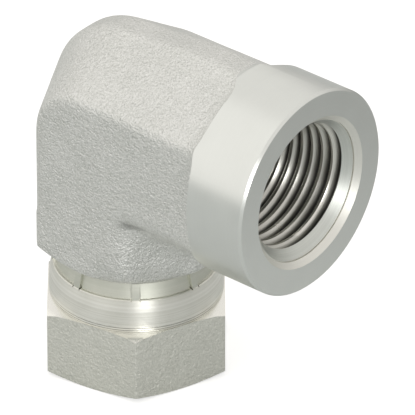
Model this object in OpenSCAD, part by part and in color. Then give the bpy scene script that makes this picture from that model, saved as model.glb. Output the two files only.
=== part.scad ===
// Forged 90 degree pipe elbow with a threaded port on one arm
// and a captive swivel nut on the other.
// The nut's axis is Z and its foot is at z = 0. The port opens toward +X.

/* [Elbow forging] */

// Height of the port's axis above the foot of the nut
port_height = 38.8; // [37:0.1:44]
// Distance from the nut's axis to the port's face
port_reach = 32; // [30:0.1:38]
// Width of the forging across its two flat sides
body_width = 25.3; // [24.6:0.1:27]
// Height of each flat side, across the arm
arm_flat = 16.4; // [14:0.1:18]
// Height of the arm over the narrow lands along its top and bottom
arm_span = 32.4; // [31.4:0.1:34]
// Width of each flat side, across the limb above the nut
limb_flat = 15.8; // [14:0.1:17]
// Depth of the limb over the narrow lands along its back and front
limb_span = 26.4; // [25:0.1:28]
// Width of the narrow lands on the arm
arm_land = 3.4; // [2:0.1:4]
// Width of the narrow lands on the limb and round the bend
limb_land = 4; // [3:0.1:5]
// Radius of the bend, measured to the outer land
bend_radius = 15.4; // [14.5:0.1:15.8]
// Angle of the forging's underside, above the nut
underside_angle = 30; // [20:1:40]

/* [Port] */

// Turned diameter round the port
boss_dia = 30.8; // [30.2:0.1:31.3]
// Length of the boss, measured back from the port's face to where the sides begin to flare
boss_length = 12; // [10:0.1:13.5]
// Distance that the turning stays clear of where the sides begin to flare
turned_setback = 0.6; // [0.3:0.1:1.2]
// Bevel on the outer edge of the port's face
face_bevel = 0.35; // [0.2:0.05:1]
// Diameter inside the crests of the port's thread
port_minor_dia = 18.4; // [17.5:0.1:18.8]
// Depth of the threaded part of the port
port_thread_depth = 16; // [12:0.5:17]
// Diameter of the countersink at the port's mouth
port_mouth_dia = 22.8; // [21.4:0.1:23.5]
// Diameter of the passage drilled along the arm
arm_passage_dia = 12.8; // [11:0.1:13.4]
// Diameter of the passage drilled up the stem
stem_passage_dia = 12.2; // [10:0.1:12.4]

/* [Swivel nut] */

// Size of the hexagon across flats
nut_af = 25.4; // [24.8:0.1:27]
// Overall height of the nut
nut_height = 18; // [17:0.1:20]
// Height of the hexagon, up to the foot of the round collar
hex_height = 10.7; // [9.5:0.1:11.5]
// Angle of the bevels that round the hexagon's corners
hex_bevel_angle = 18; // [12:1:30]
// Turn of the nut on its stem, where a corner of the hexagon faces this way
nut_turn = -50; // [-180:1:180]
// Diameter of the collar at its foot
collar_dia = 25.1; // [24.4:0.1:25.3]
// Diameter of the collar at the ledge that the crimping left
ledge_dia = 24; // [23.5:0.1:24.2]
// Height of the crimped band above the ledge
band_height = 2.4; // [2:0.1:3.2]
// Depth of the ledge
ledge_depth = 0.45; // [0.2:0.05:0.6]
// Inward lean of the crimped band over its height
band_lean = 0.55; // [0.3:0.05:0.8]
// Number of ribs left between the crimping jaws
rib_count = 8; // [6:1:12]
// Width of a rib
rib_width = 1.1; // [0.8:0.1:1.6]
// Diameter inside the crests of the nut's thread
nut_minor_dia = 18.9; // [18.4:0.1:19.2]
// Length of the nut's thread
nut_thread_length = 7.5; // [6:0.1:8]
// Countersink at the mouth of the nut's thread, wider than the crests by this much all round
nut_countersink = 1.1; // [0.8:0.1:1.4]

/* [Swivel joint] */

// Diameter of the stem where it passes through the nut's crimped top
neck_dia = 17.6; // [17:0.1:18]
// Diameter of the collar on the stem that keeps the nut on
flange_dia = 20.6; // [20:0.1:20.8]
// Thickness of that collar
flange_height = 2.5; // [2:0.1:3]
// Side clearance between the stem and the nut
swivel_clearance = 0.35; // [0.3:0.05:0.5]
// Travel of the nut up the stem before it meets its collar
swivel_play = 0.3; // [0.2:0.05:0.6]
// Height of the conical nose below the collar
nose_height = 1.7; // [1:0.1:2]
// Diameter of the nose at its tip
nose_tip_dia = 16.4; // [15.6:0.1:17]

/* [Hidden] */

cut = 0.1;
wide = 60;
half_width = body_width / 2;
arm_half_land = arm_land / 2;
limb_half_land = limb_land / 2;
arm_half_flat = arm_flat / 2;
arm_half_span = arm_span / 2;
limb_half_flat = limb_flat / 2;
limb_half_span = limb_span / 2;
bend_x = bend_radius - limb_half_span;
bend_z = port_height + arm_half_span - bend_radius;
boss_r = boss_dia / 2;
boss_start = port_reach - boss_length;
land_end = boss_start + turned_setback;
flare_root = 1;
roof_run = half_width - arm_half_land;
roof_rise = arm_half_span - arm_half_flat;
roof_peak = arm_half_span + arm_half_land * roof_rise / roof_run;
roof_angle = atan2(roof_run, roof_rise);
roof_distance = arm_half_flat * sin(roof_angle) + half_width * cos(roof_angle);
side_bend_radius = bend_radius - (limb_half_span - limb_half_flat);

hex_r = nut_af / 2 / cos(30);
hex_bevel_r = nut_af / 2 - 0.2;
hex_bevel_rise = (hex_r - hex_bevel_r) * tan(hex_bevel_angle);
collar_r = collar_dia / 2;
ledge_r = ledge_dia / 2;
ledge_z = nut_height - band_height;
collar_bend_z = hex_height + (ledge_z - hex_height) * 0.58;
collar_bend_r = collar_r - 0.1;
band_foot_r = ledge_r - ledge_depth;
band_top_r = band_foot_r - band_lean;
rim_bevel = 0.25;
thread_mouth = nut_countersink;
nut_thread_end = thread_mouth + nut_thread_length;
lip_r = neck_dia / 2 + swivel_clearance;
cavity_r = flange_dia / 2 + swivel_clearance;
lip_z = nut_thread_end + nose_height + flange_height + swivel_play + 0.5;
flange_top = lip_z - swivel_play;
flange_foot = flange_top - flange_height;
nose_z = flange_foot - nose_height;
seat_r = band_top_r + 0.35;
arm_passage_r = arm_passage_dia / 2;
stem_passage_r = stem_passage_dia / 2;
drill_point = 31;
drill_overrun = 1.5;
port_bottom = port_reach - port_thread_depth;
port_mouth_depth = (port_mouth_dia - port_minor_dia) / 2;
port_drill_end = port_bottom - (port_minor_dia / 2 - arm_passage_r) * tan(drill_point);

// Outline of the arm's cross section: two flats, and four roofs carried on to their peaks
module peaked_section() {
    polygon([
        [arm_half_flat, -half_width], [roof_peak, 0], [arm_half_flat, half_width],
        [-arm_half_flat, half_width], [-roof_peak, 0], [-arm_half_flat, -half_width]
    ]);
}

// Bar of that section along X
module peaked_bar(from_x, to_x) {
    translate([from_x, 0, port_height])
        rotate([0, 90, 0])
            linear_extrude(to_x - from_x)
                peaked_section();
}

// Wedge inside the boss whose two sides leave the arm's sides at 45 degrees
module flared_wedge(distance) {
    reach = port_reach - boss_start;
    translate([0, 0, -wide / 2])
        linear_extrude(wide)
            polygon([
                [boss_start - flare_root, flare_root - distance],
                [port_reach, -distance - reach], [port_reach, distance + reach],
                [boss_start - flare_root, distance - flare_root]
            ]);
}

// Boss that the sides flare out to, turned round with a bevel at its face
module boss() {
    translate([0, 0, port_height])
        intersection() {
            flared_wedge(half_width);
            rotate([roof_angle, 0, 0]) flared_wedge(roof_distance);
            rotate([-roof_angle, 0, 0]) flared_wedge(roof_distance);
            rotate([0, 90, 0])
                rotate_extrude()
                    polygon([
                        [0, 0], [boss_r, 0], [boss_r, port_reach - face_bevel],
                        [boss_r - face_bevel, port_reach], [0, port_reach]
                    ]);
        }
}

module arm() {
    intersection() {
        peaked_bar(bend_x, land_end);
        translate([0, -wide / 2, port_height - arm_half_span]) cube([wide, wide, arm_span]);
    }
}

// Heel: the arm's roofs run on over it, and a cone rounds it down to the limb
module heel() {
    intersection() {
        peaked_bar(-wide / 2, bend_x);
        translate([-wide / 2, -wide / 2, bend_z]) cube(wide);
        translate([bend_x, 0, bend_z])
            rotate([90, 0, 0])
                rotate_extrude()
                    polygon([
                        [0, -wide / 2], [side_bend_radius, -wide / 2],
                        [side_bend_radius, -half_width], [bend_radius, -limb_half_land],
                        [bend_radius, limb_half_land], [side_bend_radius, half_width],
                        [side_bend_radius, wide / 2], [0, wide / 2]
                    ]);
    }
}

// Limb above the nut, with a flat seat and a conical underside
module limb() {
    reach = arm_half_span;
    intersection() {
        translate([0, 0, nut_height])
            linear_extrude(bend_z - nut_height)
                polygon([
                    [limb_half_flat, -half_width], [limb_half_span, -limb_half_land],
                    [limb_half_span, limb_half_land], [limb_half_flat, half_width],
                    [-limb_half_flat, half_width], [-limb_half_span, limb_half_land],
                    [-limb_half_span, -limb_half_land], [-limb_half_flat, -half_width]
                ]);
        rotate_extrude()
            polygon([
                [0, nut_height], [seat_r, nut_height],
                [reach, nut_height + (reach - seat_r) * tan(underside_angle)],
                [reach, bend_z], [0, bend_z]
            ]);
    }
}

module stem() {
    rotate_extrude()
        polygon([
            [0, nose_z], [nose_tip_dia / 2, nose_z], [flange_dia / 2 - 0.6, flange_foot],
            [flange_dia / 2, flange_foot + 0.4], [flange_dia / 2, flange_top],
            [neck_dia / 2, flange_top], [neck_dia / 2, nut_height + cut], [0, nut_height + cut]
        ]);
}

// Threaded port at the size of its crests, drilled through to the crossing of the passages
module port_bore() {
    translate([0, 0, port_height])
        rotate([0, 90, 0])
            rotate_extrude()
                polygon([
                    [0, -drill_overrun - arm_passage_r * tan(drill_point)],
                    [arm_passage_r, -drill_overrun], [arm_passage_r, port_drill_end],
                    [port_minor_dia / 2, port_bottom],
                    [port_minor_dia / 2, port_reach - port_mouth_depth],
                    [port_mouth_dia / 2, port_reach], [port_mouth_dia / 2, port_reach + cut],
                    [0, port_reach + cut]
                ]);
}

module stem_bore() {
    rotate_extrude()
        polygon([
            [0, nose_z - cut], [stem_passage_r, nose_z - cut],
            [stem_passage_r, port_height + drill_overrun],
            [0, port_height + drill_overrun + stem_passage_r * tan(drill_point)]
        ]);
}

module elbow_body() {
    color([0.74, 0.75, 0.73])
        difference() {
            union() {
                boss();
                arm();
                heel();
                limb();
                stem();
            }
            port_bore();
            stem_bore();
        }
}

// Hexagon with both ends bevelled round its corners
module hexagon() {
    intersection() {
        rotate([0, 0, nut_turn]) cylinder(r = hex_r, h = hex_height, $fn = 6);
        rotate_extrude()
            polygon([
                [0, 0], [hex_bevel_r, 0], [hex_r, hex_bevel_rise],
                [hex_r, hex_height - hex_bevel_rise], [hex_bevel_r, hex_height], [0, hex_height]
            ]);
    }
}

// Collar with the band that the crimping pressed in
module collar() {
    rotate_extrude()
        polygon([
            [0, hex_height - cut], [collar_r, hex_height - cut], [collar_r, hex_height],
            [collar_bend_r, collar_bend_z], [ledge_r, ledge_z], [band_foot_r, ledge_z],
            [band_top_r, nut_height - rim_bevel], [band_top_r - rim_bevel, nut_height],
            [0, nut_height]
        ]);
}

// Full ring that the ribs are cut from, level with the collar below the ledge
module rib_ring() {
    rotate_extrude()
        polygon([
            [lip_r + 1, ledge_z - cut], [ledge_r, ledge_z - cut], [ledge_r, ledge_z],
            [ledge_r - band_lean, nut_height - rim_bevel],
            [band_top_r - rim_bevel, nut_height - rim_bevel], [lip_r + 1, nut_height - rim_bevel]
        ]);
}

module ribs() {
    for (i = [0 : rib_count - 1])
        intersection() {
            rib_ring();
            rotate([0, 0, nut_turn + i * 360 / rib_count])
                translate([0, -rib_width / 2, ledge_z - 1])
                    cube([collar_r, rib_width, band_height + 2]);
        }
}

// Thread at the size of its crests, cavity for the stem's collar, and the crimped mouth
module nut_bore() {
    rotate_extrude()
        polygon([
            [0, -cut], [nut_minor_dia / 2 + nut_countersink, -cut],
            [nut_minor_dia / 2 + nut_countersink, 0],
            [nut_minor_dia / 2, thread_mouth], [nut_minor_dia / 2, nut_thread_end],
            [cavity_r, nut_thread_end], [cavity_r, lip_z], [lip_r, lip_z],
            [lip_r, nut_height + cut], [0, nut_height + cut]
        ]);
}

module swivel_nut() {
    color([0.78, 0.77, 0.73])
        difference() {
            union() {
                hexagon();
                collar();
                ribs();
            }
            nut_bore();
        }
}

elbow_body();
swivel_nut();
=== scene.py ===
import math

import bmesh
import bpy
from mathutils import Matrix, Vector


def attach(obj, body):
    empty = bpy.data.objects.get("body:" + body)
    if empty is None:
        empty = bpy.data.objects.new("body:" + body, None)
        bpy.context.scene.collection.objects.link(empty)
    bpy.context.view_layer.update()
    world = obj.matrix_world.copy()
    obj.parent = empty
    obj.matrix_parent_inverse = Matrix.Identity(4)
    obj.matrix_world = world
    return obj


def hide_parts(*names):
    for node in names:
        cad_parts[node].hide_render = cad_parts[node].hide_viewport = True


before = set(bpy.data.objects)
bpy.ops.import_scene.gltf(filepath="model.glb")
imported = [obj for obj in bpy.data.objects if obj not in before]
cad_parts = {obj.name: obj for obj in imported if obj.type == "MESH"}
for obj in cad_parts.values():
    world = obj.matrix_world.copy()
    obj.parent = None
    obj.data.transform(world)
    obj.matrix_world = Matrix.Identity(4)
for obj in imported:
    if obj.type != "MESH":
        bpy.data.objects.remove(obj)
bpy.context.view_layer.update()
print("frame loaded:", sorted(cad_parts))

millimetre = 0.001  # pieces are modelled in millimetres and brought to metres when they are finished
portHeight = 38.8  # height of the port's axis
clear = 60.0  # size of cutters that only have to be larger than the part
spare = 1.0  # blanks and cutters run on this far past the surface that ends them

# Mesh helpers

roundSteps = {"outside": 256, "bore": 192, "hidden": 128, "limit": 96}
weldReach = {"outline": 0.0005, "screw": 0.002}  # points closer than this become one


def toAxis(points):
    return [(0, points[0][1]), *points, (0, points[-1][1])]


def turnedSolid(profile, axis, steps, centreHeight=0.0):  # profile holds (radius, along) points
    bm = bmesh.new()
    verts = [bm.verts.new((radius, 0, along)) for radius, along in profile]
    edges = [bm.edges.new(pair) for pair in zip(verts, verts[1:])]
    if profile[0][0] > 0 or profile[-1][0] > 0:  # a ring, clear of the axis
        edges.append(bm.edges.new((verts[-1], verts[0])))
    bmesh.ops.spin(bm, geom=verts + edges, cent=(0, 0, 0), axis=(0, 0, 1), dvec=(0, 0, 0),
                   angle=math.tau, steps=steps, use_merge=True, use_duplicate=False)
    return standOnAxis(bm, axis, centreHeight)


def standOnAxis(bm, axis, centreHeight):
    bmesh.ops.remove_doubles(bm, verts=bm.verts, dist=weldReach["outline"])
    if axis == "X":
        bmesh.ops.rotate(bm, verts=bm.verts, cent=(0, 0, 0), matrix=Matrix.Rotation(math.pi / 2, 3, "Y"))
    bmesh.ops.translate(bm, verts=bm.verts, vec=(0, 0, centreHeight))
    bmesh.ops.recalc_face_normals(bm, faces=bm.faces)
    return bm


def block(bm, size, centre, turn=0.0):
    verts = bmesh.ops.create_cube(bm, size=1)["verts"]
    bmesh.ops.scale(bm, verts=verts, vec=size)
    bmesh.ops.translate(bm, verts=verts, vec=centre)
    bmesh.ops.rotate(bm, verts=verts, cent=(0, 0, 0), matrix=Matrix.Rotation(turn, 3, "Z"))


ridge = {  # cross-section of a thread's groove, as shares of the pitch and the depth
    "foot": ((0.0, 0.0), (0.03, 0.04), (0.06, 0.13)),  # measured from the edge of the crest's flat
    "flankDepth": 0.52,
    "root": ((0.42, 0.89), (0.46, 0.98), (0.5, 1.0)),
    "sink": 0.5,  # millimetres below the crest where the groove has faded out
    "crestBand": 0.02,  # what stands lower than this is crest, and keeps its radius along the taper
}


def ridgeOutline(crestFlat):
    edge = crestFlat / 2
    half = [(0.0, 0.0), *((edge + along, depth) for along, depth in ridge["foot"]),
            ((edge + 0.5) / 2, ridge["flankDepth"]), *ridge["root"]]
    return half + [(1 - along, depth) for along, depth in half[-2::-1]]


def threadFade(spec, along):
    begun = (along - spec["fadeFrom"]) / (spec["fadeTo"] - spec["fadeFrom"])
    left = (spec["endTo"] - along) / (spec["endTo"] - spec["endFrom"])
    return min(1.0, max(0.0, min(begun, left)))


def threadPlug(spec, axis, centreHeight=0.0):  # a solid screw, whose ridges cut an inner thread's grooves
    bm = bmesh.new()
    crest, pitch, perTurn = spec["crestRadius"], spec["pitch"], spec["stepsPerTurn"]
    turns = int(math.ceil((spec["to"] - spec["from"]) / pitch)) + 1
    verts = [bm.verts.new((crest + spec["depth"] * depth, 0, along * pitch))
             for along, depth in ridgeOutline(spec["crestFlat"])]
    edges = [bm.edges.new(pair) for pair in zip(verts, verts[1:])]
    bmesh.ops.spin(bm, geom=verts + edges, cent=(0, 0, 0), axis=(0, 0, 1), dvec=(0, 0, pitch / perTurn),
                   angle=math.tau * turns, steps=perTurn * turns, use_merge=False, use_duplicate=False)
    bmesh.ops.remove_doubles(bm, verts=bm.verts, dist=weldReach["screw"])
    bmesh.ops.rotate(bm, verts=bm.verts, cent=(0, 0, 0),
                     matrix=Matrix.Rotation(math.radians(spec["startTurn"]), 3, "Z"))
    bmesh.ops.translate(bm, verts=bm.verts, vec=(0, 0, spec["from"] - pitch))
    for v in bm.verts:  # the taper, and the fades at both ends of the cut
        radius = math.hypot(v.co.x, v.co.y)
        height = radius - crest
        fade = threadFade(spec, v.co.z)
        if height > ridge["crestBand"]:
            height += (v.co.z - spec["mouth"]) * spec["taper"]
        wanted = crest + max(height, 0) * fade - ridge["sink"] * (1 - fade)
        v.co.x *= wanted / radius
        v.co.y *= wanted / radius
    bmesh.ops.holes_fill(bm, edges=[e for e in bm.edges if e.is_boundary], sides=0)
    bmesh.ops.triangulate(bm, faces=[f for f in bm.faces if len(f.verts) > 4])
    return standOnAxis(bm, axis, centreHeight)


def asObject(bm, name, metal, pieceMetals):
    mesh = bpy.data.meshes.new(name)
    for each in pieceMetals:
        mesh.materials.append(metals[each])
    for face in bm.faces:
        face.material_index = pieceMetals.index(metal)
    bm.to_mesh(mesh)
    bm.free()
    obj = bpy.data.objects.new(name, mesh)
    bpy.context.scene.collection.objects.link(obj)
    return obj


def applied(obj):
    bpy.context.view_layer.update()
    graph = bpy.context.evaluated_depsgraph_get()
    old = obj.data
    mesh = bpy.data.meshes.new_from_object(obj.evaluated_get(graph))
    obj.modifiers.clear()
    obj.data = mesh
    bpy.data.meshes.remove(old)


def combine(obj, tools, operation):
    for tool in tools:
        step = obj.modifiers.new("step", "BOOLEAN")
        step.operation = operation
        step.object = tool
        step.solver = "MANIFOLD"
        applied(obj)
    for tool in tools:
        bpy.data.objects.remove(tool)
    return obj


def finished(obj, name, body, node, sharpAngle):
    obj.data.transform(Matrix.Scale(millimetre, 4))
    obj.name = obj.data.name = name
    obj.data.polygons.foreach_set("use_smooth", [True] * len(obj.data.polygons))
    obj.data.set_sharp_from_angle(angle=math.radians(sharpAngle))
    obj.data.update()
    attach(obj, body)
    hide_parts(node)
    print("piece", name, "faces", len(obj.data.polygons))


# Materials

grain = {  # noise sizes per metre, and what each adds to the height
    "fineScale": 3600, "fineDetail": 3, "fineShare": 1.0,
    "coarseScale": 1300, "coarseDetail": 2, "coarseShare": 0.9,
    "pitScale": 2400, "pitShare": 0.6,
}
latheLayers = ((1.0, 0.5), (0.31, 0.35), (3.1, 0.3))  # line density and height of each layer
latheDetail = 2
latheMiddle = sum(height for density, height in latheLayers) / 2
cloudDetail = 4
cloudShare = 0.5  # of the slow clouds in the colour of blasted metal
quarterTurn = 0.25  # turns the stretched highlight across the lathe lines


def groupStart(name, inputs, outputs):
    tree = bpy.data.node_groups.new(name, "ShaderNodeTree")
    for socket, kind in inputs:
        tree.interface.new_socket(name=socket, in_out="INPUT", socket_type=kind)
    for socket, kind in outputs:
        tree.interface.new_socket(name=socket, in_out="OUTPUT", socket_type=kind)
    return tree, tree.nodes.new("NodeGroupInput"), tree.nodes.new("NodeGroupOutput")


def mathNode(tree, operation, *values):
    node = tree.nodes.new("ShaderNodeMath")
    node.operation = operation
    for socket, value in zip(node.inputs, values):
        if isinstance(value, (int, float)):
            socket.default_value = value
        else:
            tree.links.new(value, socket)
    return node.outputs[0]


def noiseNode(tree, kind, detail):
    node = tree.nodes.new(kind)
    node.inputs["Detail"].default_value = detail
    return node


def eased(tree, value, span, ends):  # goes smoothly from one end to the other over the span of value
    step = tree.nodes.new("ShaderNodeMapRange")
    step.interpolation_type = "SMOOTHSTEP"
    for socket, number in zip(("From Min", "From Max", "To Min", "To Max"), (*span, *ends)):
        step.inputs[socket].default_value = number
    tree.links.new(value, step.inputs["Value"])
    return step.outputs[0]


def scaled(tree, colour, factor):
    node = tree.nodes.new("ShaderNodeVectorMath")
    node.operation = "SCALE"
    if isinstance(colour, tuple):
        node.inputs[0].default_value = colour
    else:
        tree.links.new(colour, node.inputs[0])
    tree.links.new(factor, node.inputs["Scale"])
    return node.outputs[0]


def alongDirection(tree, position, direction):
    node = tree.nodes.new("ShaderNodeVectorMath")
    node.operation = "DOT_PRODUCT"
    node.inputs[1].default_value = direction
    tree.links.new(position, node.inputs[0])
    return node.outputs["Value"]


def colourMix(tree, blend):  # the sockets for the factor, the first and the second colour, and the result
    mix = tree.nodes.new("ShaderNodeMix")
    mix.data_type = "RGBA"
    mix.blend_type = blend
    return mix.inputs[0], mix.inputs[6], mix.inputs[7], mix.outputs[2]


def separated(tree, position):
    apart = tree.nodes.new("ShaderNodeSeparateXYZ")
    tree.links.new(position, apart.inputs[0])
    return apart.outputs


def blastedGrainGroup():
    tree, given, out = groupStart("blastedGrain",
                                  [("Position", "NodeSocketVector"), ("Scale", "NodeSocketFloat")],
                                  [("Height", "NodeSocketFloat"), ("Speckle", "NodeSocketFloat")])
    fine = noiseNode(tree, "ShaderNodeTexNoise", grain["fineDetail"])
    coarse = noiseNode(tree, "ShaderNodeTexNoise", grain["coarseDetail"])
    pits = tree.nodes.new("ShaderNodeTexVoronoi")
    pits.feature = "SMOOTH_F1"
    height = None
    for node, size in ((fine, "fine"), (coarse, "coarse"), (pits, "pit")):
        tree.links.new(given.outputs["Position"], node.inputs["Vector"])
        perMetre = mathNode(tree, "MULTIPLY", given.outputs["Scale"], grain[size + "Scale"])
        tree.links.new(perMetre, node.inputs["Scale"])
        share = mathNode(tree, "MULTIPLY", node.outputs[0], grain[size + "Share"])
        height = share if height is None else mathNode(tree, "ADD", height, share)
    tree.links.new(height, out.inputs["Height"])
    tree.links.new(fine.outputs[0], out.inputs["Speckle"])
    return tree


def latheLinesGroup():
    tree, given, out = groupStart("latheLines",
                                  [("Along", "NodeSocketFloat"), ("Density", "NodeSocketFloat")],
                                  [("Height", "NodeSocketFloat")])
    height = None
    for density, weight in latheLayers:
        lines = noiseNode(tree, "ShaderNodeTexNoise", latheDetail)
        lines.noise_dimensions = "1D"
        lines.inputs["Scale"].default_value = 1
        perMetre = mathNode(tree, "MULTIPLY", given.outputs["Density"], density)
        tree.links.new(mathNode(tree, "MULTIPLY", given.outputs["Along"], perMetre), lines.inputs["W"])
        share = mathNode(tree, "MULTIPLY", lines.outputs[0], weight)
        height = share if height is None else mathNode(tree, "ADD", height, share)
    tree.links.new(height, out.inputs["Height"])
    return tree


def groupIn(tree, group):
    node = tree.nodes.new("ShaderNodeGroup")
    node.node_tree = group
    return node


def materialStart(name):
    material = bpy.data.materials.new(name)
    material.use_nodes = True
    tree = material.node_tree
    shader = tree.nodes["Principled BSDF"]
    shader.inputs["Metallic"].default_value = 1.0
    coords = tree.nodes.new("ShaderNodeTexCoord")
    return material, tree, shader, coords.outputs["Object"]


def mottled(tree, position, shader, finish):  # slow change of colour and roughness over the plating
    cloud = noiseNode(tree, "ShaderNodeTexNoise", cloudDetail)
    cloud.inputs["Scale"].default_value = finish["cloudScale"]
    tree.links.new(position, cloud.inputs["Vector"])
    factor, dark, light, colour = colourMix(tree, "MIX")
    dark.default_value = (*finish["dark"], 1)
    light.default_value = (*finish["light"], 1)
    rough = mathNode(tree, "MULTIPLY_ADD", cloud.outputs[0], finish["roughSpread"],
                     finish["rough"] - finish["roughSpread"] / 2)
    tree.links.new(rough, shader.inputs["Roughness"])
    return cloud.outputs[0], factor, colour


def bumped(tree, shader, height, distance):
    bump = tree.nodes.new("ShaderNodeBump")
    bump.inputs["Distance"].default_value = distance
    tree.links.new(height, bump.inputs["Height"])
    tree.links.new(bump.outputs[0], shader.inputs["Normal"])


def paintCreaseShade(tree, position, colour, creaseShade):  # painted shade: darkens the colour in the crease under the arm's lower ridge
    x, y, z = separated(tree, position)
    away = mathNode(tree, "ABSOLUTE", mathNode(tree, "SUBTRACT", z, creaseShade["height"]))
    mask = eased(tree, x, creaseShade["starts"], (0, 1))
    mask = mathNode(tree, "MULTIPLY", mask, eased(tree, x, creaseShade["fades"], (1, creaseShade["fadedShare"])))
    mask = mathNode(tree, "MULTIPLY", mask, eased(tree, away, (0, creaseShade["reach"]), (1, 0)))
    factor, plain, shade, result = colourMix(tree, "MULTIPLY")
    shade.default_value = (*[creaseShade["shade"]] * 3, 1)
    tree.links.new(mask, factor)
    tree.links.new(colour, plain)
    return result


def blastedMetal(name, finish):
    material, tree, shader, position = materialStart(name)
    cloud, factor, colour = mottled(tree, position, shader, finish)
    grit = groupIn(tree, grainGroup)
    grit.inputs["Scale"].default_value = finish["grainScale"]
    tree.links.new(position, grit.inputs["Position"])
    specks = mathNode(tree, "MULTIPLY_ADD", grit.outputs["Speckle"], finish["speckle"],
                      (1 - finish["speckle"]) / 2)
    slow = mathNode(tree, "MULTIPLY_ADD", cloud, cloudShare, -cloudShare / 2)
    tree.links.new(mathNode(tree, "ADD", specks, slow), factor)
    bumped(tree, shader, grit.outputs["Height"], finish["grainDepth"])
    # painted shade in the crease under the arm's lower ridge
    if "creaseShade" in finish:
        colour = paintCreaseShade(tree, position, colour, finish["creaseShade"])
    tree.links.new(colour, shader.inputs["Base Color"])
    return material


def turnedMetal(name, finish):  # turned round the port's axis, X, or round the nut's, Z
    material, tree, shader, position = materialStart(name)
    shader.inputs["Anisotropic"].default_value = finish["anisotropic"]
    shader.inputs["Anisotropic Rotation"].default_value = quarterTurn
    cloud, factor, colour = mottled(tree, position, shader, finish)
    x, y, z = separated(tree, position)
    if finish["axis"] == "X":
        z = mathNode(tree, "SUBTRACT", z, portHeight * millimetre)
        across, along, tangentParts = (y, z), x, (None, mathNode(tree, "MULTIPLY", z, -1), y)
    else:
        across, along, tangentParts = (x, y), z, (mathNode(tree, "MULTIPLY", y, -1), x, None)
    squares = [mathNode(tree, "MULTIPLY", part, part) for part in across]
    radius = mathNode(tree, "SQRT", mathNode(tree, "ADD", *squares))
    tangent = tree.nodes.new("ShaderNodeCombineXYZ")
    for socket, part in zip(tangent.inputs, tangentParts):
        if part is not None:
            tree.links.new(part, socket)
    unit = tree.nodes.new("ShaderNodeVectorMath")
    unit.operation = "NORMALIZE"
    tree.links.new(tangent.outputs[0], unit.inputs[0])
    tree.links.new(unit.outputs[0], shader.inputs["Tangent"])
    lines = groupIn(tree, linesGroup)
    lines.inputs["Density"].default_value = finish["lineDensity"]
    tree.links.new(mathNode(tree, "ADD", along, radius), lines.inputs["Along"])
    bumped(tree, shader, lines.outputs["Height"], finish["lineDepth"])
    streaks = mathNode(tree, "MULTIPLY", mathNode(tree, "SUBTRACT", lines.outputs["Height"], latheMiddle),
                       finish["streaks"])
    tree.links.new(mathNode(tree, "ADD", cloud, streaks), factor)
    # painted shade: darker toward the thread's roots and deeper into the bore
    if "rootShade" in finish:
        colour = scaled(tree, colour, eased(tree, radius, *finish["rootShade"]))
    if "deepShade" in finish:
        colour = scaled(tree, colour, eased(tree, along, *finish["deepShade"]))
    tree.links.new(colour, shader.inputs["Base Color"])
    return material


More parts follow.
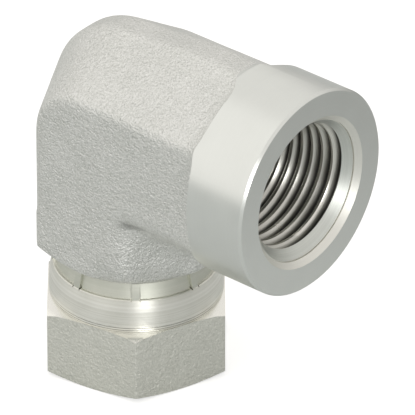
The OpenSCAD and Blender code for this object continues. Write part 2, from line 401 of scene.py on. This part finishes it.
finishes = {
    "forgedZinc": {
        "dark": (0.64, 0.65, 0.615), "light": (0.86, 0.86, 0.84), "cloudScale": 160, "rough": 0.46,
        "roughSpread": 0.10, "grainScale": 1.2, "grainDepth": 0.00018, "speckle": 2.6,
        # painted shade in the crease under the arm's lower ridge
        "creaseShade": {"starts": (0.0065, 0.0088), "fades": (0.0095, 0.0165), "fadedShare": 0.2,
                   "height": 0.0296, "reach": 0.0013, "shade": 0.64},
    },
    "turnedZinc": {
        "dark": (0.735, 0.75, 0.72), "light": (0.795, 0.81, 0.78), "cloudScale": 220, "rough": 0.30,
        "roughSpread": 0.08, "streaks": 0.6, "lineDensity": 5000, "lineDepth": 0.0000035,
        "anisotropic": 0.35, "axis": "X",
    },
    "boreZinc": {
        "dark": (0.79, 0.785, 0.735), "light": (0.88, 0.875, 0.825), "cloudScale": 300, "rough": 0.46,
        "roughSpread": 0.12, "streaks": 1.5, "lineDensity": 4200, "lineDepth": 0.000016,
        "anisotropic": 0.4, "axis": "X",
    },
    "threadZinc": {
        "dark": (0.66, 0.655, 0.605), "light": (0.82, 0.81, 0.755), "cloudScale": 300, "rough": 0.30,
        "roughSpread": 0.12, "streaks": 3.0, "lineDensity": 4200, "lineDepth": 0.000016,
        "anisotropic": 0.4, "axis": "X",
        # painted shade toward the thread roots and deep in the bore
        "rootShade": ((0.0094, 0.0102), (1, 0.22)), "deepShade": ((0.017, 0.029), (0.7, 1)),
    },
    "stemZinc": {
        "dark": (0.66, 0.655, 0.605), "light": (0.82, 0.81, 0.755), "cloudScale": 300, "rough": 0.30,
        "roughSpread": 0.12, "streaks": 3.0, "lineDensity": 4200, "lineDepth": 0.000016,
        "anisotropic": 0.4, "axis": "Z",
    },
    "leadZinc": {
        "dark": (0.60, 0.62, 0.585), "light": (0.70, 0.72, 0.685), "cloudScale": 300, "rough": 0.44,
        "roughSpread": 0.08, "streaks": 1.5, "lineDensity": 4200, "lineDepth": 0.000016,
        "anisotropic": 0.4, "axis": "X",
    },
    "hexZinc": {
        "dark": (0.71, 0.71, 0.65), "light": (0.88, 0.875, 0.815), "cloudScale": 200, "rough": 0.40,
        "roughSpread": 0.10, "grainScale": 0.95, "grainDepth": 0.00012, "speckle": 2.0,
    },
    "collarZinc": {
        "dark": (0.76, 0.755, 0.69), "light": (0.92, 0.915, 0.86), "cloudScale": 260, "rough": 0.37,
        "roughSpread": 0.08, "streaks": 3.0, "lineDensity": 2600, "lineDepth": 0.00003,
        "anisotropic": 0.8, "axis": "Z",
    },
    "nutBoreZinc": {
        "dark": (0.66, 0.66, 0.61), "light": (0.78, 0.78, 0.72), "cloudScale": 300, "rough": 0.30,
        "roughSpread": 0.12, "streaks": 1.5, "lineDensity": 4200, "lineDepth": 0.000016,
        "anisotropic": 0.4, "axis": "Z",
    },
    "bandZinc": {
        "dark": (0.58, 0.595, 0.525), "light": (0.675, 0.68, 0.615), "cloudScale": 400, "rough": 0.48,
        "roughSpread": 0.08, "streaks": 1.5, "lineDensity": 4200, "lineDepth": 0.000005,
        "anisotropic": 0.2, "axis": "Z",
    },
    "bevelZinc": {
        "dark": (0.84, 0.835, 0.785), "light": (0.92, 0.915, 0.87), "cloudScale": 400, "rough": 0.22,
        "roughSpread": 0.06, "streaks": 1.0, "lineDensity": 4200, "lineDepth": 0.000004,
        "anisotropic": 0.2, "axis": "Z",
    },
}
elbowMetals = ("forgedZinc", "turnedZinc", "boreZinc", "stemZinc", "threadZinc", "leadZinc")
nutMetals = ("hexZinc", "collarZinc", "nutBoreZinc", "bandZinc", "bevelZinc")
grainGroup = blastedGrainGroup()
linesGroup = latheLinesGroup()
metals = {name: (turnedMetal if "axis" in finish else blastedMetal)(name, finish)
          for name, finish in finishes.items()}
print("materials made:", len(metals))

# Elbow forging

forging = {
    "halfWidth": 12.65, "halfLand": 1.85,  # out to the flat sides, and half the land where the dies meet
    "armHalfFlat": 8.2, "armHalfSpan": 16.2, "limbHalfFlat": 7.9, "limbHalfSpan": 13.2,
    "heelFlatRadius": 7.8, "heelLandRadius": 13.2, "heelDip": 1.45,
    "crotchFlatRadius": 0.8, "crotchLandRadius": 2.5, "cornerSteps": 14,
    "endDip": 0.35, "landDips": ((12.0, 0.1), (8.2, 0.42), (3.4, 1.05)),  # x, and the top land's dip there
    "flareStart": 20.4, "flareRadius": 1.9, "flareSteps": 6, "flareLimit": 3.6,
    "seatRadius": 11.35, "seatHeight": 18.0, "seatCut": 0.01, "seatCutDepth": 10,
    "undersideAngle": 30, "undersideReach": 18.0, "undersideWidth": 45,
    "sharpAngle": 28,
}
softening = {
    "voxel": 0.34, "roundsAll": 5, "roundsSides": 24, "sidesFrom": (6.5, 26.0),  # out to a side, up
    "roundsFront": 100, "frontFrom": (2.5, 3.5), "frontTo": 29.4,  # ahead and out to a side, up to
    "creaseFrom": (5, 7), "creaseDrop": 1.0, "creaseAhead": 0.8, "creaseStretch": 0.7,
    "creaseDepth": 0.25, "creaseBack": 0.5, "creaseReach": 1.2, "strength": 0.5,
}
port = {
    "reach": 32.0, "bossRadius": 15.4, "faceBevel": 0.35, "shoulder": 20.55,
    "shoulderSweep": ((3.0, -1.5), (0.8, -0.25), (0.2, 0.15), (0.0, 0.6)),  # out from the boss, along
    "turningStart": 3.0, "turningWidth": 26, "turningRunOut": 6,
    "crest": 9.2, "mouthRadius": 11.4, "mouthDepth": 0.8, "mouthBreak": 0.12,
    "stepRadius": 10.6, "stepGroove": 0.16, "stepGrooveSpan": (0.2, 0.16, 0.08),  # depths behind the step
    "leadRadius": 9.6, "leadDepth": 2.1, "leadRunIn": 0.4, "leadLap": (0.1, 0.2), "leadEnd": (0.1, 0.14),
    "bottom": 16.0, "passage": 6.4, "drillEnd": 14.32, "overrun": 1.5, "drillPoint": 31,
}
portThread = {
    "pitch": 1.814, "stepsPerTurn": 96, "crestRadius": 9.22, "depth": 1.16, "crestFlat": 0.1, "taper": 1 / 32,
    "mouth": 32.0, "from": 15.8, "to": 34.5, "fadeFrom": 16.6, "fadeTo": 18.4, "endFrom": 29.9, "endTo": 30.7,
    "startTurn": 124,
}
stem = {  # the outline's points are (radius, height)
    "outline": ((8.2, 9.1), (9.7, 10.8), (10.3, 11.2), (10.3, 13.3), (8.8, 13.3), (8.8, 22)),
    "passage": 6.1, "passageFoot": 5,
}
touching = 0.001  # how far a corner may be from the level that it's on


def dieLevel(bm, spec, across, draft):  # the blank's outline: draft is 0 at a flat side and 1 at the lands
    left = -spec["limbHalfFlat"] - draft * (spec["limbHalfSpan"] - spec["limbHalfFlat"])
    rise = spec["armHalfFlat"] + draft * (spec["armHalfSpan"] - spec["armHalfFlat"])
    top, low, foot = portHeight + rise, portHeight - rise, spec["seatHeight"] - spare
    end = spec["flareStart"]
    points = [(left, top - spec["heelDip"] * draft), (left, foot), (-left, foot), (-left, low), (end, low)]
    points += [(x, top - dip * draft) for x, dip in ((end, spec["endDip"]), *spec["landDips"])]
    verts = [bm.verts.new((x, across, z)) for x, z in points]
    bm.faces.new(verts)
    heel = spec["heelFlatRadius"] + draft * (spec["heelLandRadius"] - spec["heelFlatRadius"])
    crotch = spec["crotchFlatRadius"] + draft * (spec["crotchLandRadius"] - spec["crotchFlatRadius"])
    for corner, radius in ((verts[0], heel), (verts[3], crotch)):
        bmesh.ops.bevel(bm, geom=[corner], offset=radius, offset_type="OFFSET", segments=spec["cornerSteps"],
                        profile=0.5, affect="VERTICES", material=-1)
    return next(f for f in bm.faces if all(abs(v.co.y - across) < touching for v in f.verts))


def bendBlank(spec):
    bm = bmesh.new()
    side, land = spec["halfWidth"], spec["halfLand"]
    levels = [dieLevel(bm, spec, across, draft)
              for across, draft in ((-side, 0), (-land, 1), (land, 1), (side, 0))]
    rims = [list(face.edges) for face in levels]
    bmesh.ops.delete(bm, geom=levels[1:3], context="FACES_ONLY")
    for near, far in zip(rims, rims[1:]):
        bmesh.ops.bridge_loops(bm, edges=near + far)
    bmesh.ops.recalc_face_normals(bm, faces=bm.faces)
    return bm


def flareBlank(spec):  # the arm's end, where the sides sweep out to the boss
    side, flat, span, land = spec["halfWidth"], spec["armHalfFlat"], spec["armHalfSpan"], spec["halfLand"]
    lowSpan = spec["endDip"] - span
    bm = bmesh.new()
    face = bm.faces.new([bm.verts.new((up, across, spec["flareStart"] - spare)) for up, across in (
        (-flat, -side), (lowSpan, -land), (lowSpan, land), (-flat, side),
        (flat, side), (span, land), (span, -land), (flat, -side))])
    risen = bmesh.ops.extrude_face_region(bm, geom=[face], use_keep_orig=True)
    top = [g for g in risen["geom"] if isinstance(g, bmesh.types.BMVert)]
    bmesh.ops.translate(bm, verts=top, vec=(0, 0, spare))
    standOnAxis(bm, "X", portHeight)
    tilt = math.atan((side - land) / (span - flat))  # lean of the roofs' normals
    spread = (1 - math.cos(tilt)) / math.sin(tilt)
    face = max(bm.faces, key=lambda each: each.calc_center_median().x)
    for i in range(1, spec["flareSteps"] + 1):
        turn = math.pi / 2 * i / spec["flareSteps"]
        rise = spec["flareLimit"] if i == spec["flareSteps"] else spec["flareRadius"] * (1 - math.cos(turn))
        face = bmesh.ops.extrude_discrete_faces(bm, faces=[face])["faces"][0]
        for v in face.verts:
            up, across = v.co.z - portHeight, v.co.y
            v.co.x = spec["flareStart"] + spec["flareRadius"] * math.sin(turn)
            if abs(up) > (flat + span) / 2:  # a corner of a land
                v.co.y = math.copysign(land + rise / math.cos(tilt), across)
            else:
                v.co.y = math.copysign(side + rise, across)
                v.co.z = portHeight + math.copysign(flat + rise * spread, up)
    face = bmesh.ops.extrude_discrete_faces(bm, faces=[face])["faces"][0]
    onward = port["reach"] + 2 * spare - spec["flareStart"] - spec["flareRadius"]
    bmesh.ops.translate(bm, verts=face.verts, vec=(onward, 0, 0))
    bmesh.ops.recalc_face_normals(bm, faces=bm.faces)
    return bm


def forgedBlank(spec):
    blank = asObject(bendBlank(spec), "blank", "forgedZinc", elbowMetals)
    combine(blank, [asObject(flareBlank(spec), "flare", "forgedZinc", elbowMetals)], "UNION")
    low, reach = spec["seatHeight"], spec["undersideReach"]
    ledge = low + (reach - spec["seatRadius"]) * math.tan(math.radians(spec["undersideAngle"]))
    cone = turnedSolid(toAxis([(spec["seatRadius"], low), (reach, ledge), (spec["undersideWidth"], ledge),
                               (spec["undersideWidth"], clear)]), "Z", roundSteps["hidden"])
    return combine(blank, [asObject(cone, "underside", "forgedZinc", elbowMetals)], "INTERSECT")


def smoothed(bm, verts, rounds, upToo):
    for _ in range(rounds):
        bmesh.ops.smooth_vert(bm, verts=verts, factor=softening["strength"],
                              use_axis_x=True, use_axis_y=True, use_axis_z=upToo)


def softened(obj, spec):  # an even mesh, with the soft edges that a forging has
    remesh = obj.modifiers.new("remesh", "REMESH")
    remesh.mode = "VOXEL"
    remesh.voxel_size = spec["voxel"]
    applied(obj)
    bm = bmesh.new()
    bm.from_mesh(obj.data)
    ahead, aside = spec["frontFrom"]
    smoothed(bm, [v for v in bm.verts if v.co.x > ahead and abs(v.co.y) > aside and v.co.z < spec["frontTo"]],
             spec["roundsFront"], False)
    creaseHeight = portHeight - forging["armHalfFlat"] - spec["creaseDrop"]
    creaseEnd = forging["limbHalfFlat"] + spec["creaseAhead"]
    ahead, aside = spec["creaseFrom"]
    for v in [v for v in bm.verts if v.co.x > ahead and abs(v.co.y) > aside]:  # under the arm's lower ridge
        away = math.hypot(v.co.z - creaseHeight, max(creaseEnd - v.co.x, 0) * spec["creaseStretch"])
        pull = spec["creaseDepth"] * math.exp(-(away / spec["creaseReach"]) ** 2)
        v.co.x -= spec["creaseBack"] * pull
        v.co.y -= math.copysign(pull, v.co.y)
    smoothed(bm, bm.verts[:], spec["roundsAll"], True)
    aside, up = spec["sidesFrom"]
    smoothed(bm, [v for v in bm.verts if abs(v.co.y) > aside and v.co.z > up], spec["roundsSides"], True)
    bm.to_mesh(obj.data)
    bm.free()
    return obj


def turningCutter(spec):  # takes everything round the boss away
    radius, width, shoulder, reach, bevel = (spec[key] for key in (
        "bossRadius", "turningWidth", "shoulder", "reach", "faceBevel"))
    sweep = [(radius + out, shoulder + along) for out, along in spec["shoulderSweep"]]
    outline = toAxis([(width, reach + spec["turningRunOut"]), (width, shoulder - spec["turningStart"]),
                      *sweep, (radius, reach - bevel), (radius - bevel, reach)])
    return asObject(turnedSolid(outline, "X", roundSteps["outside"], portHeight), "turning", "turnedZinc",
                    elbowMetals)


def seatCutter(spec):
    bm = bmesh.new()
    top = spec["seatHeight"] + spec["seatCut"]
    block(bm, (clear, clear, spec["seatCutDepth"]), (0, 0, top - spec["seatCutDepth"] / 2))
    return asObject(bm, "seat", "stemZinc", elbowMetals)


def boreCutter(spec):
    reach, passage, crest = spec["reach"], spec["passage"], spec["crest"]
    tip = passage * math.tan(math.radians(spec["drillPoint"]))
    step = reach - spec["mouthDepth"]
    groove = spec["stepRadius"] + spec["stepGroove"]
    back, deep, near = spec["stepGrooveSpan"]
    edge = spec["mouthRadius"] + spec["mouthBreak"]
    outline = [(0, -spec["overrun"] - tip), (passage, -spec["overrun"]), (passage, spec["drillEnd"]),
               (crest, spec["bottom"]), (crest, step - back), (groove, step - deep), (groove, step - near),
               (spec["stepRadius"], step), (spec["mouthRadius"], reach),
               (edge, reach + spec["mouthBreak"]), (edge, reach + spare), (0, reach + spare)]
    return asObject(turnedSolid(outline, "X", roundSteps["bore"], portHeight), "portBore", "boreZinc",
                    elbowMetals)


def leadCutter(spec):  # the plain cone that leads a pipe into the thread
    crest, lead = spec["crest"], spec["reach"] - spec["leadDepth"]
    start = lead - spec["leadRunIn"]
    (lapIn, lapBack), (endIn, endBack) = spec["leadLap"], spec["leadEnd"]
    end = spec["reach"] - spec["mouthDepth"] - endBack
    outline = toAxis([(crest - lapIn, start - lapBack), (crest, start), (spec["leadRadius"], lead),
                      (spec["stepRadius"] - endIn, end)])
    return asObject(turnedSolid(outline, "X", roundSteps["bore"], portHeight), "portLead", "leadZinc",
                    elbowMetals)


def stemCutter(spec):
    radius, foot, top = spec["passage"], spec["passageFoot"], portHeight + port["overrun"]
    tip = radius * math.tan(math.radians(port["drillPoint"]))
    outline = [(0, foot), (radius, foot), (radius, top), (0, top + tip)]
    return asObject(turnedSolid(outline, "Z", roundSteps["hidden"]), "stemBore", "stemZinc", elbowMetals)


elbow = softened(forgedBlank(forging), softening)
print("forging softened", len(elbow.data.polygons))
combine(elbow, [turningCutter(port), seatCutter(forging)], "DIFFERENCE")
stemSolid = turnedSolid(toAxis(stem["outline"]), "Z", roundSteps["hidden"])
combine(elbow, [asObject(stemSolid, "stem", "stemZinc", elbowMetals)], "UNION")
threadCutter = asObject(threadPlug(portThread, "X", portHeight), "portThread", "threadZinc", elbowMetals)
combine(elbow, [boreCutter(port), leadCutter(port), threadCutter, stemCutter(stem)], "DIFFERENCE")
finished(elbow, "elbowForging", "elbow", "elbow_body", forging["sharpAngle"])

# Swivel nut

nut = {  # the points of every outline are (radius, height)
    "hexRadius": 14.665, "hexHeight": 10.7, "turn": -50, "cornerWear": 0.16, "cornerSteps": 3,
    "bevelRadius": 12.5, "bevelRise": 0.704, "bevelRound": ((0.7, 0.42), (0.35, 0.16)),  # shares of both
    "hexPlay": 0.02,  # the bevels' solid stands this far out from the corners
    "collar": ((12.5, 9.7), (12.55, 11.5), (12.45, 13.54), (12.33, 14.34), (12.06, 15.48), (11.95, 15.6)),
    "collarInner": ((10.0, 15.6), (10.0, 17.8)),
    "band": ((11.0, 15.1), (11.0, 15.55), (11.6, 15.55), (11.55, 15.66), (11.0, 17.75), (10.75, 18.0)),
    "ribRing": ((10.15, 15.5), (11.97, 15.5), (11.97, 15.62), (11.4, 17.98), (10.15, 17.98)),
    "ribs": 8, "ribSize": (6, 1.1, 6), "ribCentre": (12, 15.6),  # deep, wide and high; radius, height
    "grooveSize": (1, 0.16, 4), "grooveCentre": (11.89, 17.4),
    "footGrooves": ((0.16, 0.3), (0.52, 0.3)), "footGrooveMouth": (0.5, 0.1),  # rise over the hexagon, depth
    "footRadius": 12.55,
    "bore": ((10.65, -1), (10.65, -0.1), (10.55, 0), (9.45, 1.1), (9.45, 9.2), (10.65, 9.2), (10.65, 13.6),
             (9.15, 13.6), (9.15, 19)),
    "threadLimit": ((11, -3), (11, 8.6), (9.9, 9.0)),
    "sharpAngle": 28,
}
nutThread = {
    "pitch": 1.814, "stepsPerTurn": 96, "crestRadius": 9.47, "depth": 1.0, "crestFlat": 0.2, "taper": 0.0,
    "mouth": 0.0, "from": -2.0, "to": 9.2, "fadeFrom": -4.0, "fadeTo": -3.0, "endFrom": 20.0, "endTo": 21.0,
    "startTurn": 40,
}


def nutTurned(name, profile, metal, steps="outside"):
    return asObject(turnedSolid(profile, "Z", roundSteps[steps]), name, metal, nutMetals)


def hexagon(spec):
    bm = bmesh.new()
    height = spec["hexHeight"]
    bmesh.ops.create_cone(bm, cap_ends=True, segments=6, radius1=spec["hexRadius"], radius2=spec["hexRadius"],
                          depth=height, matrix=Matrix.Rotation(math.radians(spec["turn"] + 90), 4, "Z"))
    bmesh.ops.translate(bm, verts=bm.verts, vec=(0, 0, height / 2))
    upright = [e for e in bm.edges if abs(e.verts[0].co.z - e.verts[1].co.z) > height / 2]
    bmesh.ops.bevel(bm, geom=upright, offset=spec["cornerWear"], offset_type="OFFSET",
                    segments=spec["cornerSteps"], profile=0.5, affect="EDGES", material=-1)
    hexBar = asObject(bm, "hexagon", "hexZinc", nutMetals)
    inner, outer, rise = spec["bevelRadius"], spec["hexRadius"] + spec["hexPlay"], spec["bevelRise"]
    rounding = [(inner + (outer - inner) * out, height - rise * down) for out, down in spec["bevelRound"]]
    bevels = toAxis([(inner, 0), (outer, rise), (outer, height - rise), *rounding, (inner, height)])
    return combine(hexBar, [nutTurned("hexTurning", bevels, "bevelZinc")], "INTERSECT")


def ribTurns(spec):
    return [math.radians(spec["turn"] + i * 360 / spec["ribs"]) for i in range(spec["ribs"])]


def crimpRibs(spec):
    ring = nutTurned("ribRing", spec["ribRing"], "bandZinc")
    bars = bmesh.new()
    for turn in ribTurns(spec):
        block(bars, spec["ribSize"], (spec["ribCentre"][0], 0, spec["ribCentre"][1]), turn)
    return combine(ring, [asObject(bars, "bars", "bandZinc", nutMetals)], "INTERSECT")


def ribGrooves(spec):  # one at each side of a rib
    bm = bmesh.new()
    radius, height = spec["grooveCentre"]
    aside = (spec["ribSize"][1] + spec["grooveSize"][1]) / 2
    for turn in ribTurns(spec):
        for side in (-1, 1):
            block(bm, spec["grooveSize"], (radius, side * aside, height), turn)
    return asObject(bm, "grooves", "nutBoreZinc", nutMetals)


def footGroove(spec, rise, depth):
    foot, height = spec["footRadius"], spec["hexHeight"] + rise
    out, halfMouth = spec["footGrooveMouth"]
    return nutTurned("footGroove", [(foot - depth, height), (foot + out, height - halfMouth),
                                    (foot + out, height + halfMouth)], "nutBoreZinc")


def innerThread(spec):
    plug = asObject(threadPlug(nutThread, "Z"), "nutThread", "nutBoreZinc", nutMetals)
    limit = nutTurned("threadLimit", toAxis(spec["threadLimit"]), "nutBoreZinc", "limit")
    return combine(plug, [limit], "INTERSECT")


def nutShell(spec):
    shell = hexagon(spec)
    collar = nutTurned("collar", toAxis([*spec["collar"], *spec["collarInner"]]), "collarZinc")
    band = nutTurned("band", toAxis(spec["band"]), "bandZinc")
    combine(shell, [collar, band, crimpRibs(spec)], "UNION")
    footGrooves = [footGroove(spec, rise, depth) for rise, depth in spec["footGrooves"]]
    combine(shell, [ribGrooves(spec), *footGrooves], "DIFFERENCE")
    bore = nutTurned("nutBore", toAxis(spec["bore"]), "nutBoreZinc", "bore")
    return combine(shell, [bore, innerThread(spec)], "DIFFERENCE")


finished(nutShell(nut), "swivelNut", "nut", "swivel_nut", nut["sharpAngle"])

# Stage, light and camera

studio = {
    "keyDistance": 0.55, "keyAzimuth": 51, "keyElevation": 15, "keySize": 0.19, "keyWatts": 0.62,
    "keyAim": (0.008, 0, 0.03),
    "tentColour": (1.0, 0.98, 0.95), "tentBase": 0.59, "tentLimit": 1.04,
    "tentPatches": (((0, 0, 1), (0.05, 0.6), 0.31),  # toward, fades in over, gain
                    ((-0.6, -0.75, 0.2), (0.3, 0.85), 0.45)),
    "floorSize": 3, "floorRough": 0.9, "floorSeen": 0.64, "floorGlow": 0.57, "floorReflected": 0.625,
    # the floor that the metal reflects is painted darker toward the right, as shade
    "floorShadedSide": 0.43, "farSpan": (0.05, 0.12), "farSide": (0.8, 0.6, 0), "floorTint": (0.975, 1.01, 1.01),
}
shot = {
    "azimuth": 40.0, "elevation": 31.77, "target": (0.98, 14.66, 17.11), "distance": 1100.0, "lens": 663.0,
    "sensor": 36, "clip": (0.05, 20),
}


def directionFrom(azimuth, elevation):
    around, up = math.radians(azimuth), math.radians(elevation)
    return Vector((math.sin(around) * math.cos(up), -math.cos(around) * math.cos(up), math.sin(up)))


def floorMaterial(spec):  # white to the camera, and painted shade in what the metal reflects: a little darker on the right
    material = bpy.data.materials.new("floorCard")
    material.use_nodes = True
    tree = material.node_tree
    shader = tree.nodes["Principled BSDF"]
    shader.inputs["Roughness"].default_value = spec["floorRough"]
    shader.inputs["Specular IOR Level"].default_value = 0.0
    shader.inputs["Emission Color"].default_value = (1, 1, 1, 1)
    toCamera = tree.nodes.new("ShaderNodeLightPath").outputs["Is Camera Ray"]
    coords = tree.nodes.new("ShaderNodeTexCoord")
    aside = alongDirection(tree, coords.outputs["Object"], spec["farSide"])
    # painted shade: the floor that the metal reflects darkens toward the right
    brightness = eased(tree, aside, spec["farSpan"], (spec["floorReflected"], spec["floorShadedSide"]))
    factor, reflected, seen, colour = colourMix(tree, "MIX")
    seen.default_value = (*[spec["floorSeen"]] * 3, 1)
    tree.links.new(toCamera, factor)
    tree.links.new(scaled(tree, spec["floorTint"], brightness), reflected)
    tree.links.new(colour, shader.inputs["Base Color"])
    glow = mathNode(tree, "MULTIPLY", toCamera, spec["floorGlow"])
    tree.links.new(glow, shader.inputs["Emission Strength"])
    return material


def floorStage(spec):
    bm = bmesh.new()
    bmesh.ops.create_grid(bm, x_segments=1, y_segments=1, size=spec["floorSize"])
    mesh = bpy.data.meshes.new("studioFloor")
    mesh.materials.append(floorMaterial(spec))
    bm.to_mesh(mesh)
    bm.free()
    floor = bpy.data.objects.new("studioFloor", mesh)
    bpy.context.scene.collection.objects.link(floor)


def softTent(spec):  # the world, brighter overhead and toward the front left
    world = bpy.data.worlds.new("softTent")
    bpy.context.scene.world = world
    world.use_nodes = True
    tree = world.node_tree
    background = tree.nodes["Background"]
    background.inputs["Color"].default_value = (*spec["tentColour"], 1)
    coords = tree.nodes.new("ShaderNodeTexCoord")
    strength = spec["tentBase"]
    for toward, span, gain in spec["tentPatches"]:
        facing = alongDirection(tree, coords.outputs["Generated"], Vector(toward).normalized())
        strength = mathNode(tree, "ADD", eased(tree, facing, span, (0, gain)), strength)
    limited = mathNode(tree, "MINIMUM", strength, spec["tentLimit"])
    tree.links.new(limited, background.inputs["Strength"])


def keyLight(spec):
    light = bpy.data.lights.new("keyBox", "AREA")
    light.shape = "SQUARE"
    light.size = spec["keySize"]
    light.energy = spec["keyWatts"]
    key = bpy.data.objects.new("keyBox", light)
    bpy.context.scene.collection.objects.link(key)
    direction = directionFrom(spec["keyAzimuth"], spec["keyElevation"])
    key.location = direction * spec["keyDistance"] + Vector(spec["keyAim"])
    key.rotation_mode = "QUATERNION"
    key.rotation_quaternion = direction.to_track_quat("Z", "Y")


def photoCamera(spec):
    camera = bpy.data.objects.new("camera", bpy.data.cameras.new("camera"))
    bpy.context.scene.collection.objects.link(camera)
    camera.data.lens = spec["lens"]
    camera.data.sensor_width = spec["sensor"]
    camera.data.clip_start, camera.data.clip_end = spec["clip"]
    back = directionFrom(spec["azimuth"], spec["elevation"])
    camera.location = (Vector(spec["target"]) + back * spec["distance"]) * millimetre
    camera.rotation_mode = "QUATERNION"
    camera.rotation_quaternion = (-back).to_track_quat("-Z", "Y")
    bpy.context.scene.camera = camera


floorStage(studio)
softTent(studio)
keyLight(studio)
photoCamera(shot)
bpy.context.scene.view_settings.view_transform = "Standard"
print("stage, light and camera set")
